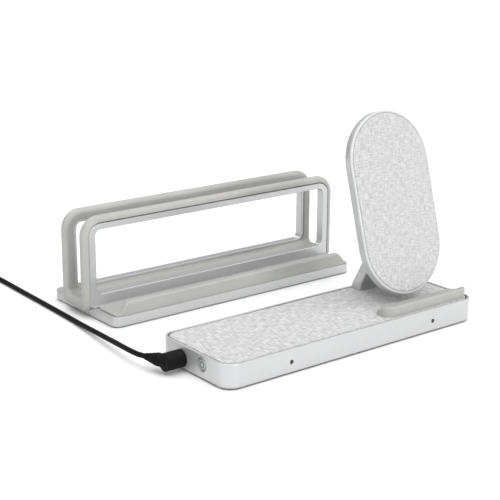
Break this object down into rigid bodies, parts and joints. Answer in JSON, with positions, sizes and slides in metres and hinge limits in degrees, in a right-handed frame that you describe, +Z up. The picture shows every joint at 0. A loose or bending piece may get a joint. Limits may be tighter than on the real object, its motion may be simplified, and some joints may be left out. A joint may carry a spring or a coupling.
{
  "type": "laptop docking station",
  "caption": "Desk dock in two units: a flat charging base with a tilted phone paddle and a pad for earbuds, and an upright laptop slot with a tablet tray in front.",
  "frame": {"origin": "on the desk, at the centre of the footprint of the two units together", "axes": "+X to the right along both units' long side, +Y to the rear, from the charging base to the holder, +Z up"},
  "size_m": [0.3812, 0.4131, 0.1739],
  "materials": {
    "aluminium": "satin anodised",
    "heather_fabric": "light grey heather weave",
    "grey_silicone": "matt warm light grey",
    "light_plastic": "satin silver paint",
    "dark_plastic": "matt",
    "black_plastic": "fine texture",
    "black_rubber": "matt",
    "steel": "plated",
    "copper": "enamelled winding",
    "ferrite": "sintered",
    "circuit_board": "solder mask"
  },
  "bodies": {
    "charging_base": {"base_shell": "aluminium", "bottom_cover": "dark_plastic", "top_plate": "dark_plastic", "top_fabric": "heather_fabric", "phone_ledge": "grey_silicone", "main_board": "circuit_board", "pad_coil": "copper", "pad_shield": "ferrite", "dc_jack": "black_plastic", "usb_a_port": "steel", "usb_c_port": "steel", "power_switch": "black_plastic", "button_bezel": "aluminium", "status_light_left": "dark_plastic", "status_light_right": "dark_plastic", "cover_screw_1": "steel", "cover_screw_2": "steel", "cover_screw_3": "steel", "cover_screw_4": "steel", "base_foot_1": "black_rubber", "base_foot_2": "black_rubber", "base_foot_3": "black_rubber", "base_foot_4": "black_rubber", "stand_leg": "aluminium", "stand_cable": "black_rubber", "stand_back_shell": "aluminium", "stand_face_plate": "light_plastic", "stand_fabric": "heather_fabric", "stand_coil_upper": "copper", "stand_coil_lower": "copper", "stand_shield": "ferrite", "stand_screw_1": "steel", "stand_screw_2": "steel", "leg_screw_1": "steel", "leg_screw_2": "steel"},
    "button": {"power_button": "aluminium"},
    "holder": {"holder_base_plate": "aluminium", "front_frame": "aluminium", "rear_frame": "aluminium", "slot_liner": "grey_silicone", "tablet_tray": "grey_silicone", "holder_foot_1": "black_rubber", "holder_foot_2": "black_rubber", "holder_foot_3": "black_rubber", "holder_foot_4": "black_rubber", "front_frame_screw_1": "steel", "front_frame_screw_2": "steel", "rear_frame_screw_1": "steel", "rear_frame_screw_2": "steel"},
    "power_lead": {"dc_plug": "black_rubber", "plug_barrel": "steel", "strain_relief": "black_rubber", "lead_run": "black_rubber", "lead_coil": "black_rubber", "lead_tail": "black_rubber", "coil_tie": "black_rubber", "adapter_case": "black_plastic", "adapter_prong_1": "steel", "adapter_prong_2": "steel"}
  },
  "joints": [
    {"name": "power_button_press", "type": "slide", "parent": "charging_base", "child": "button", "axis": [1, 0, 0], "range_m": [0, 0.0006], "stiffness_N_per_m": 400},
    {"name": "holder_place", "type": "slide", "parent": "charging_base", "child": "holder", "axis": [0, 1, 0], "range_m": [-0.06, 0.04]},
    {"name": "power_plug_pull", "type": "slide", "parent": "charging_base", "child": "power_lead", "axis": [-1, 0, 0], "range_m": [0, 0.012]}
  ]
}
